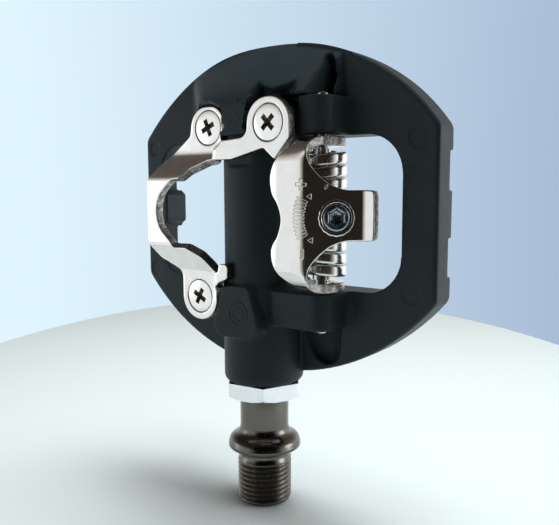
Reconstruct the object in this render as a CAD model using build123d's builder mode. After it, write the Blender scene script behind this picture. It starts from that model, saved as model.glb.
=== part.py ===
from build123d import *
import math
import os

os.makedirs("parts", exist_ok=True)

# Clipless pedal, right-hand side, in millimetres.
# Origin: the flange face that seats on the crank. +Z runs outboard along the spindle,
# -Y is the way the cleat side faces, +X points to the heel.

# ---- driving dimensions ---------------------------------------------------------------
# spindle and its bearings
thread_r, thread_len = 7.14, 14.0
socket_af, socket_depth = 8.0, 8.0
flange_r, flange_rim = 9.6, 2.0
neck_r, journal_r, waist_r, tail_r = 6.4, 6.0, 4.9, 4.0
journal_z, waist_z, tail_z, spindle_end_z = 38.0, 46.0, 70.0, 83.0
collar_z0, collar_z1, collar_af = 14.3, 18.7, 18.0
spigot_len = 5.0
collar_bore_r, seal_r0, seal_r1, seal_len = 6.75, 6.46, 7.5, 2.4
sleeve_r0, sleeve_r1, sleeve_end_z = 6.6, 7.8, 84.0
bush_r0, bush_len = 6.05, 12.0
bearing_len, ball_r, ball_pitch_r, ball_count = 5.0, 1.0, 5.3, 9
race_wall, groove_r, cage_r0, cage_r1 = 0.65, 1.04, 5.0, 5.6
washer_len, nut_len, nut_af = 1.0, 4.5, 11.0

# platform body
centre_z = 62.5
half_len, half_height, side_half_height = 47.0, 41.75, 19.5
face_y, back_y = 2.5, 10.5
barrel_r, hub_r, hub_top = 10.0, 10.4, -18.2
barrel_end_z, bore_end_z = 18.75, 86.0
window_half_h = 18.55
rear_bar_x, front_bar_x = 38.1, -40.3
pad_y = -11.6
lug_top_y, lug_x1, lug_out = -8.0, 24.2, 27.3

# front claw, pressed from one sheet
sheet = 2.4
seat_low_y, seat_high_y, loop_y = -7.0, -9.2, -11.2
screw_spots = [(-10.2, 21.4, seat_low_y), (10.8, 21.4, seat_high_y), (-14.0, -21.9, seat_low_y)]
screw_head_r, screw_r, screw_len = 4.3, 2.45, 6.8
insert_r, insert_len = 3.2, 3.0
corner_foot, corner_top, tab_edge_x = 15.6, 17.0, -4.3

# rear claw, its pivot and its springs
pin_x, pin_y, pin_r, pin_out = 20.2, -3.0, 1.75, 28.3
claw_sheet, ear_t, ear_out, ear_r = 2.2, 2.5, 18.0, 5.5
nose_x, nose_y, ridge_x = 12.3, -13.4, 22.0
tongue_x, tongue_y, tongue_half = 34.4, -3.7, 5.6
wire_r, coil_r, coil_turns, coil_pitch, coil_in = 1.4, 4.45, 2.25, 3.15, 6.8
claw_leg, body_leg = 2.2, 9.9
guide_r = 2.15
screw_spot = (27.46, -7.94, centre_z - 0.45)
tension_r, tension_head_r, tension_head_len = 2.0, 2.85, 1.4
head_sunk, shank_len, nut_depth = 0.85, 4.6, 3.3
run_gap = 0.05


def facing(y):
    """Plane at height y, looking out of the cleat side, centred on the platform."""
    return Plane(origin=(0, y, centre_z), x_dir=(1, 0, 0), z_dir=(0, -1, 0))


def along_z(z):
    """Plane square to the spindle at height z."""
    return Plane.XY.offset(z)


def across_x(x):
    """Plane square to X, its own x axis along +Y and its y axis along +Z."""
    return Plane(origin=(x, 0, centre_z), x_dir=(0, 1, 0), z_dir=(1, 0, 0))


def finish(piece, name):
    piece.part.label = name
    export_step(piece.part, f"parts/{name}.step")


def ring(z, length, r0, r1):
    """Plain turned ring about the spindle axis."""
    with BuildPart() as turned:
        with BuildSketch(along_z(z)):
            Circle(r1)
            Circle(r0, mode=Mode.SUBTRACT)
        extrude(amount=length)
    return turned


def rounded(points, radii):
    """Closed outline with one radius for each corner."""
    return FilletPolyline(*points, radius=radii, close=True)


# ---- spindle --------------------------------------------------------------------------
with BuildPart() as spindle:
    with BuildSketch(Plane.XZ):
        with BuildLine():
            Polyline((flange_r, flange_rim), (flange_r, 0.6), (flange_r - 0.6, 0), (thread_r, 0),
                     (thread_r, 1 - thread_len), (thread_r - 1, -thread_len), (0, -thread_len),
                     (0, spindle_end_z), (tail_r - 0.5, spindle_end_z),
                     (tail_r, spindle_end_z - 0.5), (tail_r, tail_z), (waist_r, tail_z),
                     (waist_r, waist_z), (journal_r, journal_z), (journal_r, collar_z1 + 4),
                     (neck_r, collar_z1 + 3), (neck_r, 6.3))
            shoulder = ThreePointArc((neck_r, 6.3), (6.7, 5.0), (7.6, 4.2))
            ThreePointArc(shoulder @ 1, (9.1, 3.3), (flange_r, flange_rim))
        make_face()
    revolve(axis=Axis.Z)
    with BuildSketch(along_z(-thread_len)):
        RegularPolygon(socket_af / 2, 6, major_radius=False)
    extrude(amount=socket_depth, mode=Mode.SUBTRACT)
finish(spindle, "spindle")

# ---- bearing cartridge ----------------------------------------------------------------
with BuildPart() as axle_collar:
    with BuildSketch(along_z(collar_z0)):
        RegularPolygon(collar_af / 2, 6, major_radius=False, rotation=7.0)
    extrude(amount=collar_z1 - collar_z0)
    with BuildSketch(Plane.XZ):
        with BuildLine():
            Polyline((0, collar_z0), (8.6, collar_z0), (11.5, collar_z0 + 1.6),
                     (11.5, collar_z1), (0, collar_z1), close=True)
        make_face()
    revolve(axis=Axis.Z, mode=Mode.INTERSECT)
    with BuildSketch(along_z(collar_z1)):
        Circle(sleeve_r1)
    extrude(amount=spigot_len)
    with BuildSketch(along_z(collar_z0)):
        Circle(collar_bore_r)
    extrude(amount=collar_z1 + spigot_len - collar_z0, mode=Mode.SUBTRACT)
    with BuildSketch(along_z(collar_z0)):
        Circle(seal_r1)
    extrude(amount=seal_len, mode=Mode.SUBTRACT)
finish(axle_collar, "axle_collar")

finish(ring(collar_z0, seal_len, seal_r0, seal_r1), "dust_seal")

sleeve_z = collar_z1 + spigot_len
finish(ring(sleeve_z, sleeve_end_z - sleeve_z, sleeve_r0, sleeve_r1), "bearing_sleeve")
finish(ring(sleeve_z + 0.5, bush_len, bush_r0, sleeve_r0), "inboard_bush")


def race(r0, r1):
    """Bearing race with the ball groove cut round it."""
    with BuildPart() as turned:
        with BuildSketch(along_z(tail_z)):
            Circle(r1)
            Circle(r0, mode=Mode.SUBTRACT)
        extrude(amount=bearing_len)
        with BuildSketch(Plane.XZ):
            with Locations((ball_pitch_r, tail_z + bearing_len / 2)):
                Circle(groove_r)
        revolve(axis=Axis.Z, mode=Mode.SUBTRACT)
    return turned


finish(race(tail_r, tail_r + race_wall), "outboard_inner_race")
finish(race(sleeve_r0 - race_wall, sleeve_r0), "outboard_outer_race")

ball_ring = along_z(tail_z + bearing_len / 2)
with BuildPart() as outboard_balls:
    with Locations(ball_ring):
        with PolarLocations(ball_pitch_r, ball_count):
            Sphere(ball_r)
finish(outboard_balls, "outboard_balls")

with BuildPart() as outboard_cage:
    with BuildSketch(along_z(tail_z + 0.6)):
        Circle(cage_r1)
        Circle(cage_r0, mode=Mode.SUBTRACT)
    extrude(amount=bearing_len - 1.2)
    with Locations(ball_ring):
        with PolarLocations(ball_pitch_r, ball_count):
            Cylinder(groove_r, 2, rotation=(0, 90, 0), mode=Mode.SUBTRACT)
finish(outboard_cage, "outboard_cage")

washer_z = tail_z + bearing_len
finish(ring(washer_z, washer_len, tail_r, tail_r + 1.3), "lock_washer")

with BuildPart() as lock_nut:
    with BuildSketch(along_z(washer_z + washer_len)):
        RegularPolygon(nut_af / 2, 6, major_radius=False)
        Circle(tail_r, mode=Mode.SUBTRACT)
    extrude(amount=nut_len)
finish(lock_nut, "lock_nut")

# ---- platform body --------------------------------------------------------------------
with BuildPart() as platform_body:
    # the plate, round top and bottom and straight at toe and heel
    with BuildSketch(facing(face_y)) as plate:
        with BuildLine():
            top = Spline((-half_len, side_half_height + 0.9), (-32.2, 33.3), (-14.8, 40.9),
                         (0, half_height + 0.4), (14.6, 40.8), (30.8, 34.6),
                         (half_len, side_half_height + 0.4))
            bottom = ThreePointArc((half_len, -side_half_height), (0, -half_height),
                                   (-half_len, -side_half_height))
            Line(top @ 1, bottom @ 0)
            Line(bottom @ 1, top @ 0)
        make_face()
        fillet(plate.vertices(), 3)
    extrude(amount=face_y - back_y)
    rims = platform_body.faces().filter_by(Axis.Y).edges()
    fillet(rims, 0.9)
    # grip notches across the flat side of both end bars
    with Locations(*[(side * half_len, back_y, centre_z + dz) for side in (-1, 1)
                     for dz in (-9.7, 10.1)]):
        Box(14, 4, 9, mode=Mode.SUBTRACT)
    # the swelling that carries the outboard claw seats
    with BuildSketch(facing(face_y)):
        with Locations((-3, 23)):
            Ellipse(18.5, 17.8)
    with BuildSketch(facing(seat_low_y)):
        with Locations((-1.5, 23)):
            Ellipse(13, 9.5)
    loft()
    # pivot lugs, the inboard one reaching in to the hub
    for x0, side in ((16.6, 1), (8.2, -1)):
        with BuildSketch(along_z(centre_z + side * window_half_h)):
            with BuildLine():
                rounded([(x0, face_y + 1), (x0, lug_top_y), (lug_x1, lug_top_y),
                         (lug_x1, face_y), (lug_x1 + 3, face_y), (lug_x1 + 3, face_y + 1)],
                        [0, 0.8, 4.2, 2.0, 0, 0])
            make_face()
        extrude(amount=side * (lug_out - window_half_h))
    # windows ahead of and behind the barrel
    with BuildSketch(facing(20)):
        with BuildLine():
            rounded([(7, window_half_h), (rear_bar_x, window_half_h),
                     (rear_bar_x, -window_half_h), (7, -window_half_h)], [2, 9.2, 9.2, 2])
        make_face()
        with BuildLine():
            rounded([(-7, window_half_h), (front_bar_x, window_half_h),
                     (front_bar_x, 5.6), (front_bar_x + 1.7, 4.4), (front_bar_x + 1.7, -3.4),
                     (front_bar_x, -4.6), (front_bar_x, -window_half_h), (-7, -window_half_h)],
                    [2, 7, 0.8, 0.8, 0.8, 0.8, 7, 2])
        make_face()
    extrude(amount=40, mode=Mode.SUBTRACT)
    # barrel round the spindle, a little stouter at the inboard hub
    with BuildSketch(Plane.XZ):
        with BuildLine():
            hub_z, top_z = centre_z + hub_top, centre_z + 22
            rounded([(0, barrel_end_z), (hub_r, barrel_end_z), (hub_r, hub_z),
                     (barrel_r, hub_z + 0.6), (barrel_r, top_z), (0, top_z)],
                    [0, 1.8, 0.3, 0.3, 5, 0])
        make_face()
    revolve(axis=Axis.Z)
    # seats for the three claw screws
    for x, dz, y in screw_spots:
        with BuildSketch(facing(face_y + 1)):
            with Locations((x, dz)):
                Circle(5.0)
        extrude(amount=face_y + 1 - y)
    # raised pads on the barrel, inboard and between the outboard screws
    with BuildSketch(facing(-4)):
        with BuildLine():
            rounded([(-4.1, -18.0), (4.3, -17.8), (7.6, -28.4), (5.2, -31.0), (-5.2, -31.0),
                     (-7.4, -28.4)], [1.2, 1.2, 1.6, 1.6, 1.6, 1.6])
        make_face()
        with BuildLine():
            rounded([(-2.4, 19.6), (2.6, 19.6), (4.6, 28), (9.0, 30.5), (8.0, 34), (-10, 34),
                     (-9.0, 28.6), (-4.0, 26.6)], [1.0, 1.0, 2.5, 1, 1, 1, 2, 1.5])
        make_face()
    extrude(amount=-4 - pad_y)
    # the outboard pad falls away to the rim
    with BuildSketch(Plane.YZ):
        with BuildLine():
            Polyline((pad_y - 1, centre_z + 26), (pad_y, centre_z + 27.5),
                     (face_y, centre_z + 41.2), (-20, centre_z + 41.2), close=True)
        make_face()
    extrude(amount=22, both=True, mode=Mode.SUBTRACT)
    # flat across the barrel for the claw strip, and its inboard nub
    with BuildSketch(facing(seat_high_y)):
        with Locations((3, 15.6)):
            Rectangle(21, 8.2)
        with Locations((-5, -15.2)):
            Rectangle(7, 5.6)
    extrude(amount=6, mode=Mode.SUBTRACT)
    # the outboard front tab sinks beside the strip, level with its screw
    with BuildSketch(facing(seat_low_y)):
        with BuildLine():
            rounded([(-10.2, corner_foot), (tab_edge_x, corner_foot), (tab_edge_x, 27.0),
                     (-10.2, 27.0)], [0, 0.8, 0.8, 0])
        make_face()
    extrude(amount=6, mode=Mode.SUBTRACT)
    # scoops in the face beyond the lugs, for driving the pivot pin
    for side in (-1, 1):
        with BuildPart(mode=Mode.PRIVATE) as scoop:
            with BuildSketch(along_z(centre_z + side * (lug_out - 0.3))):
                with Locations((16.9, face_y)):
                    Ellipse(5.6, 4.2)
            with BuildSketch(along_z(centre_z + side * 38.6)):
                with Locations((18.2, face_y - 2.4)):
                    Ellipse(1.2, 1.2)
            loft()
        add(scoop.part, mode=Mode.SUBTRACT)
    # pivot pin hole, screw insert holes, spindle bore
    with BuildSketch(along_z(centre_z - pin_out)):
        with Locations((pin_x, pin_y)):
            Circle(pin_r)
    extrude(amount=2 * pin_out, mode=Mode.SUBTRACT)
    for x, dz, y in screw_spots:
        with BuildSketch(facing(y)):
            with Locations((x, dz)):
                Circle(insert_r)
        extrude(amount=-insert_len, mode=Mode.SUBTRACT)
        with BuildSketch(facing(y)):
            with Locations((x, dz)):
                Circle(screw_r)
        extrude(amount=-screw_len, mode=Mode.SUBTRACT)
    with BuildSketch(along_z(0)):
        Circle(sleeve_r1)
    extrude(amount=bore_end_z, mode=Mode.SUBTRACT)
finish(platform_body, "platform_body")

# ---- front claw and its fasteners -----------------------------------------------------
loop_half, foot_half, fold_in = 8.8, 14.8, 0.76
joggle_x = -7.9
with BuildPart() as front_claw:
    # sheet rising from the screw tabs to the loop
    with BuildSketch(across_x(-34)):
        with BuildLine():
            low, high, reach = seat_low_y - sheet, loop_y - sheet, 30
            Polyline((low, reach), (low, foot_half), (high, loop_half), (high, -loop_half),
                     (low, -foot_half), (low, -reach), (seat_low_y, -reach),
                     (seat_low_y, fold_in - foot_half), (loop_y, fold_in - loop_half),
                     (loop_y, loop_half - fold_in), (seat_low_y, foot_half - fold_in),
                     (seat_low_y, reach), close=True)
        make_face()
    extrude(amount=34 + joggle_x)
    # the stretch that steps up to lie across the barrel
    with BuildSketch(along_z(centre_z)):
        with BuildLine():
            top = seat_high_y - sheet
            Polyline((joggle_x, low), (joggle_x + 1.0, top), (20, top), (20, seat_high_y),
                     (joggle_x + 1.6, seat_high_y), (joggle_x + 0.6, seat_low_y),
                     (joggle_x, seat_low_y), close=True)
        make_face()
    extrude(amount=30, both=True)
    # the outboard front tab stays low as far as the gap beside the pad
    with BuildSketch(facing(seat_high_y)):
        with Locations((joggle_x, corner_top)):
            Rectangle(4.2, 20, align=(Align.MIN, Align.MIN))
    extrude(amount=6, mode=Mode.SUBTRACT)
    with BuildSketch(facing(seat_low_y)):
        with Locations((joggle_x - 1, corner_foot + 0.2)):
            Rectangle(4.4, 12, align=(Align.MIN, Align.MIN))
    extrude(amount=sheet)
    with BuildSketch(facing(0)):
        with BuildLine():
            rounded([(-15.5, 26.7), (-4.9, 26.7), (-4.7, 18.4), (4.2, 18.4), (4.7, 27.4),
                     (16.9, 27.4), (17.1, 17.9), (12.6, 12.8), (9.3, 15.6), (-0.7, 13.2),
                     (-9.5, 13.2), (-14.8, 11.0), (-17.3, 8.7), (-19.8, 8.4), (-24.3, 2.6),
                     (-24.3, -3.0), (-20.6, -7.4), (-19.4, -9.2), (-15.4, -9.0),
                     (-11.2, -11.2), (-8.6, -15.0), (-5.6, -14.8), (-5.2, -12.6),
                     (-2.0, -12.6), (-2.4, -16.3), (-5.2, -17.4), (-8.0, -20.0),
                     (-8.0, -28.1), (-20.2, -28.1), (-20.2, -16.0), (-26.6, -12.4),
                     (-29.0, -8.0), (-29.0, 8.5), (-25.0, 13.6), (-16.6, 19.6)],
                    [5.2, 5.2, 2.0, 2.5, 6.0,
                     6.0, 0.8, 0.5, 0.4, 1.5,
                     2.0, 2.0, 0.4, 0.5, 4.0,
                     4.0, 0.5, 0.6, 1.5,
                     2.0, 0.6, 0.5, 1.0,
                     1.3, 1.2, 0.8, 0.8,
                     6.0, 6.0, 2.5, 3.0,
                     3.5, 4.0, 3.0, 1.5])
        make_face()
    extrude(amount=40, mode=Mode.INTERSECT)
    for x, dz, y in screw_spots:
        with Locations(facing(y - sheet)):
            with Locations((x, dz)):
                CounterSinkHole(screw_r, screw_head_r, depth=sheet + 1)
finish(front_claw, "front_claw")

with BuildPart() as front_claw_screws:
    for x, dz, y in screw_spots:
        with BuildSketch(Plane(origin=(x, y - sheet, centre_z + dz), x_dir=(1, 0, 0),
                               z_dir=(0, 0, 1))):
            with BuildLine():
                cone = screw_head_r - screw_r
                Polyline((0, 0), (screw_head_r, 0), (screw_r, cone), (screw_r, screw_len - 0.6),
                         (screw_r - 0.6, screw_len), (0, screw_len), close=True)
            make_face()
        revolve(axis=Axis((x, 0, centre_z + dz), (0, 1, 0)))
        with BuildSketch(facing(y - sheet)):
            with Locations(Location((x, dz), 30)):
                Rectangle(4.6, 1.1)
                Rectangle(1.1, 4.6)
        extrude(amount=-1.7, taper=12, mode=Mode.SUBTRACT)
finish(front_claw_screws, "front_claw_screws")

with BuildPart() as threaded_inserts:
    for x, dz, y in screw_spots:
        with BuildSketch(facing(y)):
            with Locations((x, dz)):
                Circle(insert_r)
                Circle(screw_r, mode=Mode.SUBTRACT)
        extrude(amount=-insert_len)
finish(threaded_inserts, "threaded_inserts")

# ---- rear claw ------------------------------------------------------------------------
plate_plane = Plane(origin=screw_spot, x_dir=(0, 0, 1), z_dir=(1, -1, 0))
with BuildPart() as rear_claw:
    # nose, sloping back and tongue, as one bent sheet
    with BuildSketch(along_z(centre_z)):
        with BuildLine():
            drop = tongue_y - nose_y
            bend = claw_sheet * math.tan(math.radians(22.5))
            rounded([(nose_x, nose_y), (ridge_x, nose_y), (ridge_x + drop, tongue_y),
                     (tongue_x, tongue_y), (tongue_x, tongue_y + claw_sheet),
                     (ridge_x + drop - bend, tongue_y + claw_sheet),
                     (ridge_x - bend, nose_y + claw_sheet), (nose_x, nose_y + claw_sheet + 0.3)],
                    [1.6, 2.6, 0.6, 0.5, 0.5, 2.6, 0.8, 0.6])
        make_face()
    extrude(amount=ear_out, both=True)
    with BuildSketch(facing(5)):
        with BuildLine():
            rounded([(nose_x, 11.6), (20.4, ear_out), (22.8, ear_out), (22.6, 12.6),
                     (25.7, 7.0), (30.5, tongue_half), (tongue_x, tongue_half),
                     (tongue_x, -tongue_half), (30.5, -tongue_half), (25.7, -7.6),
                     (22.6, -13.0), (22.8, -ear_out), (19.8, -ear_out), (nose_x, -12.2),
                     (nose_x, -6.6), (15.9, -0.8), (nose_x, 5.2)],
                    [4.5, 3.0, 0.4, 4.0, 5.0, 2.5, 1.0, 1.0, 2.5, 5.0, 4.0, 0.4, 3.0, 4.5,
                     3.5, 4.5, 3.5])
        make_face()
    extrude(amount=30, mode=Mode.INTERSECT)
    # ears that fold down to the pivot pin
    for side in (-1, 1):
        with BuildSketch(along_z(centre_z + side * (ear_out - ear_t))):
            with Locations((pin_x, pin_y)):
                Circle(ear_r)
            with BuildLine():
                rounded([(14.9, -4.5), (16.2, -7.0), (18.4, -9.0), (18.8, nose_y),
                         (22.6, nose_y), (23.6, -9.0), (25.5, -4.5)], [0, 1, 1, 1, 0.5, 2, 0])
            make_face()
        extrude(amount=side * ear_t)
    # soft outer bends between the nose and the ears
    with BuildSketch(across_x(5)):
        with BuildLine():
            rounded([(nose_y, ear_out), (12, ear_out), (12, -ear_out), (nose_y, -ear_out)],
                    [4.6, 0, 0, 4.6])
        make_face()
    extrude(amount=40, mode=Mode.INTERSECT)
    with BuildSketch(along_z(centre_z - 20)):
        with Locations((pin_x, pin_y)):
            Circle(pin_r + run_gap)
    extrude(amount=40, mode=Mode.SUBTRACT)
    # upset rim round the tension screw
    with BuildSketch(plate_plane):
        Circle(3.75)
    extrude(amount=0.45)
    with BuildSketch(plate_plane.offset(-head_sunk)):
        Circle(tension_head_r + 0.25)
    extrude(amount=3, mode=Mode.SUBTRACT)
    with BuildSketch(plate_plane.offset(3)):
        Circle(tension_r + run_gap)
    extrude(amount=-8, mode=Mode.SUBTRACT)
finish(rear_claw, "rear_claw")

with BuildPart() as tension_screw:
    with BuildSketch(plate_plane.offset(-head_sunk)):
        Circle(tension_head_r)
    extrude(amount=tension_head_len)
    chamfer(tension_screw.edges().sort_by(Axis(screw_spot, (1, -1, 0)))[-1], 0.3)
    with BuildSketch(plate_plane.offset(-head_sunk)):
        Circle(tension_r)
    extrude(amount=-shank_len)
    with BuildSketch(plate_plane.offset(tension_head_len - head_sunk)):
        RegularPolygon(1.25, 6, major_radius=False)
    extrude(amount=-1.6, mode=Mode.SUBTRACT)
finish(tension_screw, "tension_screw")

with BuildPart() as tension_plate:
    with BuildSketch(plate_plane.offset(-nut_depth)):
        with BuildLine():
            rounded([(-4.35, 4.8), (5.45, 4.8), (5.45, -4.8), (-4.35, -4.8)], [1, 1, 1, 1])
        make_face()
        Circle(tension_r + run_gap, mode=Mode.SUBTRACT)
    extrude(amount=-1.6)
finish(tension_plate, "tension_plate")

with BuildPart() as pivot_pin:
    with BuildSketch(along_z(centre_z - pin_out)):
        with Locations((pin_x, pin_y)):
            Circle(pin_r)
    extrude(amount=2 * pin_out)
    chamfer(pivot_pin.edges().filter_by(GeomType.CIRCLE), 0.4)
finish(pivot_pin, "pivot_pin")

with BuildPart() as spring_guide:
    with BuildSketch(along_z(centre_z - 15.3)):
        with Locations((pin_x, pin_y)):
            Circle(guide_r)
            Circle(pin_r, mode=Mode.SUBTRACT)
    extrude(amount=30.6)
finish(spring_guide, "spring_guide")

# ---- torsion springs ------------------------------------------------------------------
with BuildPart() as upper_spring:
    with BuildLine() as coil:
        Helix(coil_pitch, coil_turns * coil_pitch, coil_r,
              center=(pin_x, pin_y, centre_z + coil_in))
    inner, outer = coil.line % 0, coil.line % 1
    with BuildSketch(Plane(origin=coil.line @ 0, z_dir=inner)):
        Circle(wire_r)
    sweep()
    # short leg on the claw, long leg on the barrel
    with BuildSketch(Plane(origin=coil.line @ 0, z_dir=(-inner.X, -inner.Y, 0))):
        Circle(wire_r)
    extrude(amount=claw_leg)
    with BuildSketch(Plane(origin=coil.line @ 1, z_dir=(outer.X, outer.Y, 0))):
        Circle(wire_r)
    extrude(amount=body_leg)
finish(upper_spring, "upper_spring")

with BuildPart() as lower_spring:
    mirror(upper_spring.part, about=along_z(centre_z))
finish(lower_spring, "lower_spring")
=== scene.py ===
import math

import bmesh
import bpy
import numpy as np
from mathutils import Matrix, Vector
from mathutils.geometry import delaunay_2d_cdt


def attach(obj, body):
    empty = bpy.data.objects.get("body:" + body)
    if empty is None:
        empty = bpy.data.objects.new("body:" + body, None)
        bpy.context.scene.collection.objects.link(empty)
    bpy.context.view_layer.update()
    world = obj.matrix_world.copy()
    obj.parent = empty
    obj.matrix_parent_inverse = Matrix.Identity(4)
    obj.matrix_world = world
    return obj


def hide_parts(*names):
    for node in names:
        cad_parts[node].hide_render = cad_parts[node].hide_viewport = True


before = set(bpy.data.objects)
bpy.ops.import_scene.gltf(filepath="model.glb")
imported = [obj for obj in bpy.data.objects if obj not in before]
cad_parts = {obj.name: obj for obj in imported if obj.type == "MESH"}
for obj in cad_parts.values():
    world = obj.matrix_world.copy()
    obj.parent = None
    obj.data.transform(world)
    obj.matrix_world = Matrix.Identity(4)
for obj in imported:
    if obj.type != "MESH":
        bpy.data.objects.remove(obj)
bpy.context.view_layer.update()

bl_info = {
    "name": "Clipless pedal looks",
    "version": (1, 0, 0),
    "blender": (4, 5, 0),
    "location": "View3D > Sidebar > Pedal",
    "description": "Builds the finished pieces, materials and stage of a clipless pedal",
    "category": "Object",
}

# Sizes in this file are millimetres in the pedal's frame, turned to metres when a mesh is
# made. +Z is outboard along the spindle, -Y is the cleat side, +X is the heel.
MM = 0.001
PLATFORM_Z = 62.5
PIN_X, PIN_Y = 20.2, -3.0
SCREW_AT = (27.46, -7.94, -0.45)
SCREW_CENTRE = Vector((SCREW_AT[0], SCREW_AT[1], PLATFORM_Z + SCREW_AT[2]))
OUT_OF_PLATE = Vector((1, -1, 0)).normalized()


# ---- small geometry tools -------------------------------------------------------------
def make_object(name, mesh, body, slot_name, *materials):
    """Links a finished mesh, in metres, and says which body it rides on."""
    obj = bpy.data.objects.new(name, mesh)
    bpy.context.scene.collection.objects.link(obj)
    for material in materials:
        mesh.materials.append(material)
    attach(obj, body)
    return obj


def mesh_from(name, points, faces, smooth=True, indices=None):
    """Mesh from points in millimetres."""
    mesh = bpy.data.meshes.new(name)
    mesh.from_pydata([tuple(float(c) * MM for c in p) for p in points], [], faces)
    mesh.update()
    mesh.polygons.foreach_set("use_smooth", [smooth] * len(mesh.polygons))
    if indices:
        mesh.polygons.foreach_set("material_index", indices)
    bm = bmesh.new()
    bm.from_mesh(mesh)
    bmesh.ops.recalc_face_normals(bm, faces=bm.faces)
    bm.to_mesh(mesh)
    bm.free()
    return mesh


def rounded_loop(corners, radii, step):
    """Closed outline with every corner rounded and points about one step apart."""
    spots = [Vector(corner) for corner in corners]
    count = len(spots)
    turns = [math.pi - (spots[i - 1] - here).angle(spots[(i + 1) % count] - here)
             for i, here in enumerate(spots)]
    cuts = [radius * math.tan(turn / 2) for radius, turn in zip(radii, turns)]
    for i in range(count):
        room = (spots[i] - spots[i - 1]).length * 0.98
        share = min(1.0, room / max(cuts[i - 1] + cuts[i], 1e-9))
        cuts[i - 1] *= share
        cuts[i] *= share
    loop = []
    for i, (here, turn, cut) in enumerate(zip(spots, turns, cuts)):
        radius = cut / max(math.tan(turn / 2), 1e-6)
        if radius < 1e-3 or turn < 0.02:
            loop.append(here)
            continue
        back = (spots[i - 1] - here).normalized()
        ahead = (spots[(i + 1) % count] - here).normalized()
        centre = here + (back + ahead).normalized() * math.hypot(radius, cut)
        pieces = max(2, round(radius * turn / step))
        a0, a1 = here + back * cut - centre, here + ahead * cut - centre
        sweep = math.atan2(a0.cross(a1), a0.dot(a1))
        for k in range(pieces + 1):
            angle = sweep * k / pieces
            loop.append(centre + Vector((a0.x * math.cos(angle) - a0.y * math.sin(angle),
                                         a0.x * math.sin(angle) + a0.y * math.cos(angle))))
    return divided_loop(loop, step)


def divided_loop(loop, step):
    """The same outline with its long runs divided."""
    full = []
    for i, here in enumerate(loop):
        ahead = loop[(i + 1) % len(loop)]
        pieces = max(1, round((ahead - here).length / step))
        full += [here.lerp(ahead, k / pieces) for k in range(pieces)]
    return full


def smooth_loop(points, step):
    """Closed curve through the points."""
    loop = []
    count = len(points)
    for i in range(count):
        p0, p1, p2, p3 = (Vector(points[(i + k - 1) % count]) for k in range(4))
        pieces = max(2, round((p2 - p1).length / step))
        for k in range(pieces):
            t = k / pieces
            loop.append(0.5 * (2 * p1 + (p2 - p0) * t + (2 * p0 - 5 * p1 + 4 * p2 - p3) * t * t
                               + (3 * p1 - p0 - 3 * p2 + p3) * t ** 3))
    return loop


def circle_loop(x, y, rx, ry, count):
    """Circle or ellipse as a closed outline."""
    return [Vector((x + rx * math.cos(math.tau * k / count),
                    y + ry * math.sin(math.tau * k / count))) for k in range(count)]


def turned_left(loop):
    """True when the outline runs anticlockwise."""
    return sum(a.x * b.y - b.x * a.y for a, b in zip(loop, loop[1:] + loop[:1])) > 0


def grown(loop, amount):
    """Outline moved sideways, outwards when the amount is positive. The amount is one
    number, or one for each point."""
    side = 1 if turned_left(loop) else -1
    amounts = np.broadcast_to(amount, len(loop))
    moved = []
    for i, here in enumerate(loop):
        run = (loop[(i + 1) % len(loop)] - loop[i - 1]).normalized()
        moved.append(here + Vector((run.y, -run.x)) * side * float(amounts[i]))
    return moved


def inside(points, loop):
    """Which of the points, an array of x and y, lie inside the outline."""
    px, py = points[:, 0], points[:, 1]
    hit = np.zeros(len(points), bool)
    for a, b in zip(loop, loop[1:] + loop[:1]):
        crosses = (a.y > py) != (b.y > py)
        if a.y != b.y:
            hit ^= crosses & (px < (b.x - a.x) * (py - a.y) / (b.y - a.y) + a.x)
    return hit


def sheet_normals(bend, x, y, gap=0.02):
    """Unit normals of a bent sheet at flat x and y."""
    normal = np.cross(bend(x + gap, y) - bend(x - gap, y), bend(x, y + gap) - bend(x, y - gap))
    return normal / np.linalg.norm(normal, axis=1)[:, None]


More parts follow.
